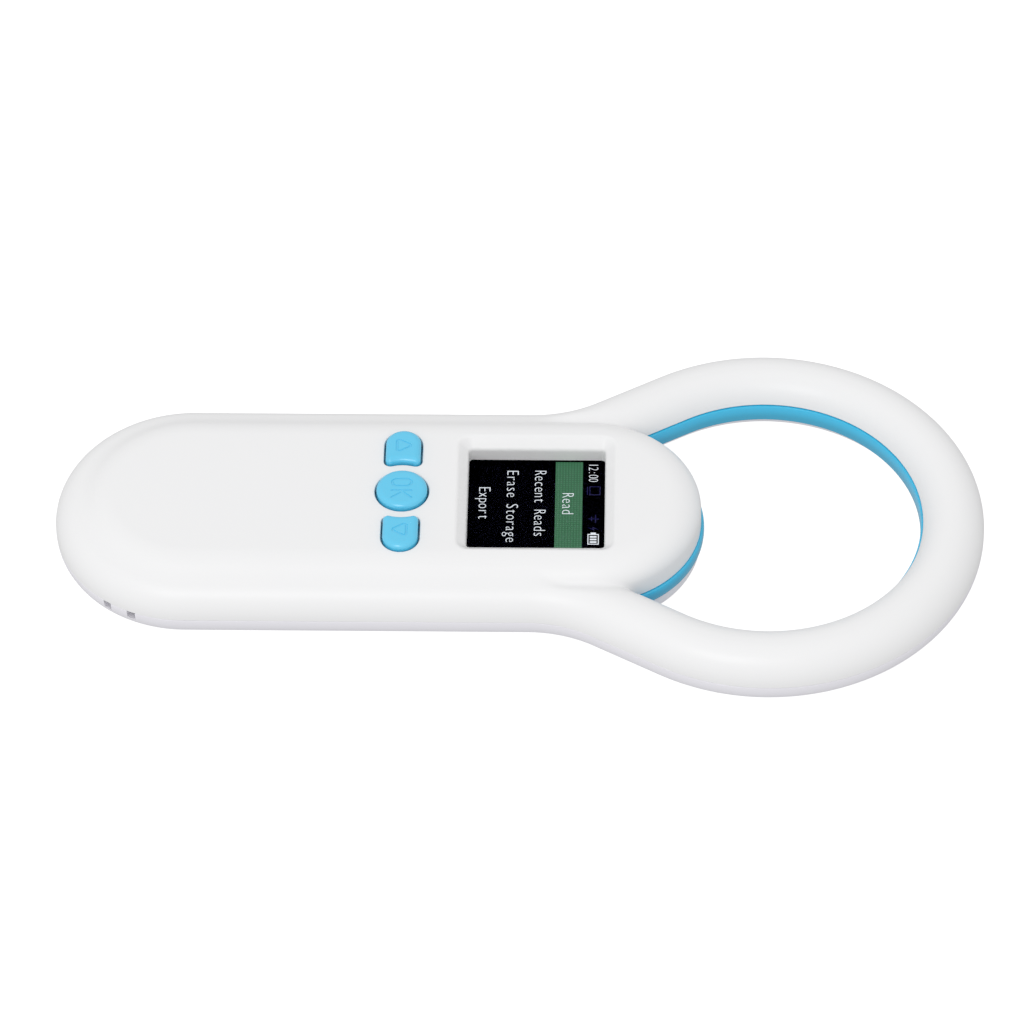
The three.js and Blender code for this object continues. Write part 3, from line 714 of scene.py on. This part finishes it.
def make_case():
    """The two shells: the outer surface, hollowed round the screw bosses and the lanyard's block,
    and split at the joint."""
    outer = piece_from("top_case", *net(case_distance, CELL, 3))
    hollow = piece_from("hollow", *net(lambda points: case_distance(points, WALL), HOLLOW_CELL, 1))
    block = butt_sector(
        "lanyard_block",
        HANDLE_HALF_WIDTH - LANYARD["deep"] - LANYARD_BLOCK["wall"],
        HANDLE_HALF_WIDTH - LANYARD_BLOCK["wall"],
        LANYARD["from"] - LANYARD_BLOCK["margin"],
        LANYARD["to"] + LANYARD_BLOCK["margin"],
        0,
        PARTING_Z,
    )
    combine(hollow, "DIFFERENCE", block, *screw_discs("boss", BOSS, 0))
    lip = PARTING_GROOVE["half"]
    groove = [(1, -lip), (SHALLOW, -lip), (-PARTING_GROOVE["deep"], 0), (SHALLOW, lip), (1, lip)]
    joint = hoop("joint", frame_outline, [(grow, PARTING_Z + z) for grow, z in groove])
    combine(outer, "DIFFERENCE", hollow, joint, *screw_discs("screw_hole", SCREW_HOLE, -1))
    lower = outer.copy()
    lower.data = outer.data.copy()
    lower.name = "bottom_case"
    bpy.context.scene.collection.objects.link(lower)
    combine(outer, "INTERSECT", slice_of("upper_half", PARTING_Z + SHELL_GAP / 2, ABOVE))
    combine(lower, "INTERSECT", slice_of("lower_half", -ABOVE, PARTING_Z - SHELL_GAP / 2))
    return outer, lower


def column(name, outline, grow):
    """An outline taken through the whole height of the case."""
    return loft(name, outline, [(grow, 0), (grow, TOP_Z)])


def band_slot(name, outline, grow, band):
    return loft(name, outline, [(grow, band["low"] - BAND_GAP), (grow, band["high"] + BAND_GAP)])


def band_groove(name):
    """The room that the band fills in both shells, along the hole's wall and round the pod's tip."""
    deep = BAND_DEEP + BAND_GAP
    ring = band_slot(name, hole_outline, deep, BAND)
    tip = band_slot("tip_groove", pod_outline, TIP_BAND["proud"] + BAND_GAP, TIP_BAND)
    combine(ring, "DIFFERENCE", column("beside_pod", pod_outline, BAND_END - BAND_GAP))
    combine(tip, "INTERSECT", column("within_hole", hole_outline, deep))
    combine(tip, "DIFFERENCE", column("core", pod_outline, -deep))
    return combine(ring, "UNION", tip)


def socket_opening(name):
    low, high = box_mm("usb_socket")
    wide = high.y - low.y + 2 * SOCKET_GAP
    return loft(
        name,
        lambda grow: rectangle_outline(-LENGTH / 2, 0, 8, wide, 1),
        [(0, low.z - SOCKET_GAP), (0, high.z + SOCKET_GAP)],
    )


def opening_profile(foot, brink, lip, softness):
    """A cutter's section, from its foot: up to the brink, which meets the case's top, and out over a
    lip. Its corners are rounded within softness of each."""
    outer = brink + lip
    rim = [(brink, TOP_Z - BRINK["below"]), (outer, TOP_Z + BRINK["above"]), (outer, TOP_Z + CLEAR)]
    return softened([*foot, *rim], softness)


top_case, bottom_case = make_case()
wells = [
    loft("well", window_outline, [(well["wide"], TOP_Z - well["deep"]), (well["wide"], TOP_Z - 1)])
    for well in WELLS
]
combine(top_case, "UNION", *wells)
window_foot = [(0, OPENING_LOW["window"]), (0, WINDOW_BEVEL["low"])]
window_profile = opening_profile(window_foot, WINDOW_BEVEL["wide"], **WINDOW_LIP)
window_cut = loft("window_cut", window_outline, window_profile)
key_profile = opening_profile([(KEY_GAP, OPENING_LOW["key"])], KEY_GAP, **KEY_LIP)
key_cuts = [
    loft("ok_cut", ok_outline, key_profile),
    loft("up_cut", lambda grow: side_key_outline(1, grow), key_profile),
    loft("down_cut", lambda grow: side_key_outline(-1, grow), key_profile),
]
upper_cuts = [window_cut, *key_cuts, band_groove("upper_groove"), socket_opening("upper_socket")]
lower_cuts = [
    band_groove("lower_groove"),
    socket_opening("lower_socket"),
    lanyard_tunnel(),
    *screw_discs("counterbore", COUNTERBORE, -1),
]
combine(top_case, "DIFFERENCE", *upper_cuts)
combine(bottom_case, "DIFFERENCE", *lower_cuts)
finished(top_case, "case_white", "top_shell")
finished(bottom_case, "case_white", "bottom_shell", material=LOWER_WHITE)
for shell in (top_case, bottom_case):
    shade_as_case(shell)
    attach(shell, BODY)


# ---- The coloured band ------------------------------------------------------------------------------
def band_section(band):
    """The band's section: flat behind, and bulging where it shows, below a thin open joint."""
    low, high = band["low"], band["high"] - BAND_JOINT
    middle, half = (low + high) / 2, (high - low) / 2
    turns = np.radians(np.arange(-84, 85, 12))
    bulge = [(-band["proud"] * math.cos(t) ** 0.6, middle + half * math.sin(t)) for t in turns]
    return [(BAND_DEEP, low), (BAND_SHOULDER, low), *bulge, (BAND_SHOULDER, high), (BAND_DEEP, high)]


def make_band():
    """The band lines the hole's wall and the pod's tip, and the two meet where the arms leave the pod."""
    ring = hoop("accent_lining", hole_outline, band_section(BAND))
    tip = hoop("tip_lining", lambda grow: pod_outline(-grow), band_section(TIP_BAND))
    combine(ring, "DIFFERENCE", column("beside_pod", pod_outline, BAND_END))
    combine(tip, "INTERSECT", column("within_hole", hole_outline, BAND_DEEP))
    combine(ring, "UNION", tip)
    finished(ring, "band_cyan", "accent_band")
    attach(ring, BODY)


make_band()

# ---- The keys ---------------------------------------------------------------------------------------
CROWN = {"width": 1.3, "rise": 0.9}
ENGRAVED = 0.17
STROKE = {"top": 0.27, "bottom": 0.17}
TRIANGLE = {"y": 11.4, "tip": 0.95, "back": -0.8, "half": 1.05, "corner": 0.45}
FLANGE = {"low": 14.8, "high": 15.6}


def crown_profile(flange):
    """A key's section: a flange that keeps it in, a straight side and a rounded crown."""
    crown = [
        (CROWN["width"] * (math.cos(t) - 1), KEY_TOP - CROWN["rise"] * (1 - math.sin(t)))
        for t in np.linspace(0, math.pi / 2, 9)
    ]
    return [(flange, FLANGE["low"]), (flange, FLANGE["high"]), (0, FLANGE["high"]), *crown]


def engraving_section():
    """What a stroke takes away on one side of its middle line, as (half width, z) from the bottom up."""
    top = STROKE["top"]
    return [(STROKE["bottom"], KEY_TOP - ENGRAVED), (top, KEY_TOP), (top, KEY_TOP + 0.3)]


def stroke_cut(name, start, end):
    return loft(name, lambda grow: capsule_outline(start, end, grow), engraving_section())


def loop_cut(name, outline):
    """A stroke that runs round a closed outline."""
    section = engraving_section()
    return hoop(name, outline, [*section, *((-half, z) for half, z in reversed(section))])


def triangle_outline(pointing, y, grow):
    """A triangle with rounded corners, its point along +X or -X."""
    tip, back, half = TRIANGLE["tip"], TRIANGLE["back"], TRIANGLE["half"]
    lean = math.degrees(math.atan2(tip - back, half))
    radius = TRIANGLE["corner"] + grow
    points = np.concatenate(
        [
            arc(tip, 0, radius, -lean, lean, 12),
            arc(back, half, radius, lean, 180, 12),
            arc(back, -half, radius, 180, 360 - lean, 12),
        ]
    )
    return points * pointing + (KEY_X, y)


LETTER_HALF = 1.9  # half the height of the letters on the round key
LETTER_O = {"y": 1.3, "half": 0.93}
LETTER_K = {"stem": -0.85, "tip": -2.75}


def letter_o():
    """The letter O: a stroke round a stadium that stands along X."""
    straight = LETTER_HALF - LETTER_O["half"]
    ends = (KEY_X - straight, LETTER_O["y"]), (KEY_X + straight, LETTER_O["y"])
    return loop_cut("letter_o", lambda grow: capsule_outline(*ends, LETTER_O["half"] + grow))


def letter_k():
    """The letter K, which lies along X with its arms towards -Y."""
    stem, tip = LETTER_K["stem"], LETTER_K["tip"]
    upright = stroke_cut("letter_k", (KEY_X - LETTER_HALF, stem), (KEY_X + LETTER_HALF, stem))
    arm = stroke_cut("arm", (KEY_X - 0.3, stem), (KEY_X + LETTER_HALF, tip))
    leg = stroke_cut("leg", (KEY_X + 0.2, stem - 0.4), (KEY_X - LETTER_HALF, tip))
    return combine(upright, "UNION", arm, leg)


def make_keys():
    triangles = {
        "up": lambda grow: triangle_outline(1, TRIANGLE["y"], grow),
        "down": lambda grow: triangle_outline(-1, -TRIANGLE["y"], grow),
    }
    caps = {
        "up": (lambda grow: side_key_outline(1, grow), 0.8, [loop_cut("mark", triangles["up"])]),
        "down": (lambda grow: side_key_outline(-1, grow), 0.8, [loop_cut("mark", triangles["down"])]),
        "ok": (ok_outline, 0.7, [letter_o(), letter_k()]),
    }
    for name, (outline, flange, marks) in caps.items():
        cap = loft(f"{name}_cap", outline, crown_profile(flange))
        combine(cap, "DIFFERENCE", *marks)
        finished(cap, "key_cyan", f"{name}_key")
        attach(cap, f"{name}_button")


make_keys()

# ---- The picture on the display ---------------------------------------------------------------------
PICTURE_LOW = box_mm("display_panel")[1].z + 0.01
PICTURE_HIGH = PICTURE_LOW + 0.03
PICTURE_HALF = WINDOW["wide"] / 2 + 0.3
PIXEL = 0.19
COLUMNS = 16
PICTURE_SHIFT = 1.13  # the picture lies below the window, so it sits further back than it looks
TEXT_LEFT = WINDOW["wide"] / 2 + PICTURE_SHIFT  # where the rows of letters begin, in Y
LETTER = {"pitch": 8 * PIXEL, "height": 2.5, "width": 1.22}
ROW = {"first": 9.73, "pitch": 5.55}
HIGHLIGHT = (7.1, 12.55)
ROWS = ["Read", "Recent Reads", "Erase Storage", "Export"]
CAP_HEIGHT = 0.72  # of the built-in letters, at size 1
THINNED = -0.06
WIDEST = 0.86  # of a narrow letter's natural width
CLOCK = {"text": "12:00", "x": 14.73, "y": 9.56, "pitch": 1.03, "height": 2.07, "width": 0.86}
WORDS_RISE = 0.04  # the words lie this far over the highlight

# The status symbols: bars as x from, x to, y from, y to, and the bolt's two triangles.
BATTERY_CELL = (13.65, 15.9, -9.9, -7.1)
BATTERY_NUB = (14.25, 15.3, -7.1, -6.7)
BATTERY_CHARGE = [(14.1, 15.45, y, y + 0.42) for y in (-9.45, -8.75, -8.05)]
SMALL_SCREEN = (13.9, 16.1, 3.45, 5.85)
SMALL_STAND = (13.4, 13.6, 3.6, 5.7)
AERIAL = [(13.8, 15.9, -3.1, -2.9), (15.1, 15.3, -4.1, -1.9), (14.3, 14.5, -3.6, -2.4)]
BOLT = [
    [(15.9, -5.9), (14.6, -5.15), (14.6, -5.5)],
    [(13.6, -5.3), (14.9, -6.1), (14.9, -5.75)],
]
SCREEN_GREEN = (0.053, 0.174, 0.088)
SCREEN_WHITE = (0.85, 0.90, 0.95)
SCREEN_INDIGO = (0.009, 0.008, 0.065)
SCREEN_OFF = (0.004, 0.004, 0.006)


def screen_light(name, colour, grid):
    """A lit part of the picture, with the display's fine grid of lines across it."""
    made = bpy.data.materials.new(name)
    made.use_nodes = True
    nodes, links = made.node_tree.nodes, made.node_tree.links
    shader = nodes["Principled BSDF"]
    shader.inputs["Base Color"].default_value = (*SCREEN_OFF, 1)
    shader.inputs["Roughness"].default_value = 0.5
    shader.inputs["Specular IOR Level"].default_value = 0.1
    shader.inputs["Emission Strength"].default_value = 1
    place = nodes.new("ShaderNodeTexCoord")
    lines = []
    for direction in ("X", "Y"):
        wave = nodes.new("ShaderNodeTexWave")
        wave.bands_direction = direction
        wave.inputs["Scale"].default_value = math.pi / 10 / (3 * PIXEL * MM)
        links.new(place.outputs["Object"], wave.inputs["Vector"])
        lines.append(wave.outputs["Fac"])
    both = nodes.new("ShaderNodeMath")
    both.operation = "MULTIPLY"
    links.new(lines[0], both.inputs[0])
    links.new(lines[1], both.inputs[1])
    shades = nodes.new("ShaderNodeMix")
    shades.data_type = "RGBA"
    shades.inputs["A"].default_value = (*(c * (1 - grid) for c in colour), 1)
    shades.inputs["B"].default_value = (*(c * (1 + grid) for c in colour), 1)
    links.new(both.outputs[0], shades.inputs["Factor"])
    links.new(shades.outputs["Result"], shader.inputs["Emission Color"])
    return made


def prisms(name, outlines):
    """One mesh of flat closed shapes in the picture's layer."""
    points, faces = [], []
    for outline in outlines:
        size, start = len(outline), len(points)
        points += [(*p, PICTURE_LOW) for p in outline] + [(*p, PICTURE_HIGH) for p in outline]
        faces += [[start + i for i in face] for face in side_faces(2, size)]
        faces += [range(start + size - 1, start - 1, -1), range(start + size, start + 2 * size)]
    return piece_from(name, points, faces)


def bar(x0, x1, y0, y1):
    return [(x0, y0), (x1, y0), (x1, y1), (x0, y1)]


def outlined(x0, x1, y0, y1, line=PIXEL):
    """The four bars of a rectangle's outline."""
    return [
        bar(x0, x1, y0, y0 + line),
        bar(x0, x1, y1 - line, y1),
        bar(x0, x0 + line, y0 + line, y1 - line),
        bar(x1 - line, x1, y0 + line, y1 - line),
    ]


def letter_mesh(letter, height, width):
    """One letter of the built-in face, drawn thin and fitted into a width."""
    curve = bpy.data.curves.new("letter", "FONT")
    curve.body = letter
    curve.align_x = "CENTER"
    curve.size = height / CAP_HEIGHT
    curve.offset = THINNED
    curve.extrude = (PICTURE_HIGH - PICTURE_LOW) / 2
    curve.resolution_u = 3
    shape = bpy.data.objects.new("letter", curve)
    bpy.context.scene.collection.objects.link(shape)
    bpy.context.view_layer.update()
    mesh = bpy.data.meshes.new_from_object(shape.evaluated_get(bpy.context.evaluated_depsgraph_get()))
    bpy.data.objects.remove(shape)
    across = [v.co.x for v in mesh.vertices]
    natural = max(across) - min(across)
    mesh.transform(Matrix.Diagonal((min(width / natural, WIDEST), 1, 1, 1)))
    return mesh


def lettering(name, lines):
    """Words in evenly spaced letters that read from +Y to -Y; lines hold (text, x, y, letter)."""
    collected = bmesh.new()
    to_metres = Matrix.Scale(MM, 4)
    reading = Matrix.Rotation(-math.pi / 2, 4, "Z")
    for text, x, y, letter in lines:
        for place, character in enumerate(text):
            if character == " ":
                continue
            mesh = letter_mesh(character, letter["height"], letter["width"])
            along = y + (len(text) / 2 - place - 0.5) * letter["pitch"]
            seat = Matrix.Translation((x - letter["height"] / 2, along, (PICTURE_LOW + PICTURE_HIGH) / 2))
            mesh.transform(to_metres @ seat @ reading)
            collected.from_mesh(mesh)
    bmesh.ops.remove_doubles(collected, verts=collected.verts, dist=1e-7)
    mesh = bpy.data.meshes.new(name)
    collected.to_mesh(mesh)
    collected.free()
    piece = bpy.data.objects.new(name, mesh)
    bpy.context.scene.collection.objects.link(piece)
    return piece


def shown(piece, material):
    piece.data.materials.clear()
    piece.data.materials.append(material)
    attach(piece, BODY)


def make_picture():
    green = screen_light("screen_green", SCREEN_GREEN, 0.25)
    white = screen_light("screen_white", SCREEN_WHITE, 0.08)
    indigo = screen_light("screen_indigo", SCREEN_INDIGO, 0.2)

    highlight = prisms("screen_highlight", [bar(*HIGHLIGHT, -PICTURE_HALF, PICTURE_HALF)])
    shown(highlight, green)

    lines = [(CLOCK["text"], CLOCK["x"], CLOCK["y"] + PICTURE_SHIFT, CLOCK)]
    for number, text in enumerate(ROWS):
        before = (COLUMNS - len(text) + 1) // 2
        middle = TEXT_LEFT - (before + len(text) / 2) * LETTER["pitch"]
        lines.append((text, ROW["first"] - number * ROW["pitch"], middle, LETTER))
    words = lettering("screen_words", lines)
    words.data.transform(Matrix.Translation((0, 0, WORDS_RISE * MM)))
    shown(words, white)

    charge = [bar(*place) for place in BATTERY_CHARGE]
    battery = prisms("screen_battery", [*outlined(*BATTERY_CELL), *charge, bar(*BATTERY_NUB)])
    shown(battery, white)

    aerial = [bar(*place) for place in AERIAL]
    icons = prisms("screen_icons", [*outlined(*SMALL_SCREEN), bar(*SMALL_STAND), *aerial, *BOLT])
    shown(icons, indigo)
    for piece in (battery, icons):
        piece.data.transform(Matrix.Translation((0, PICTURE_SHIFT * MM, 0)))


make_picture()
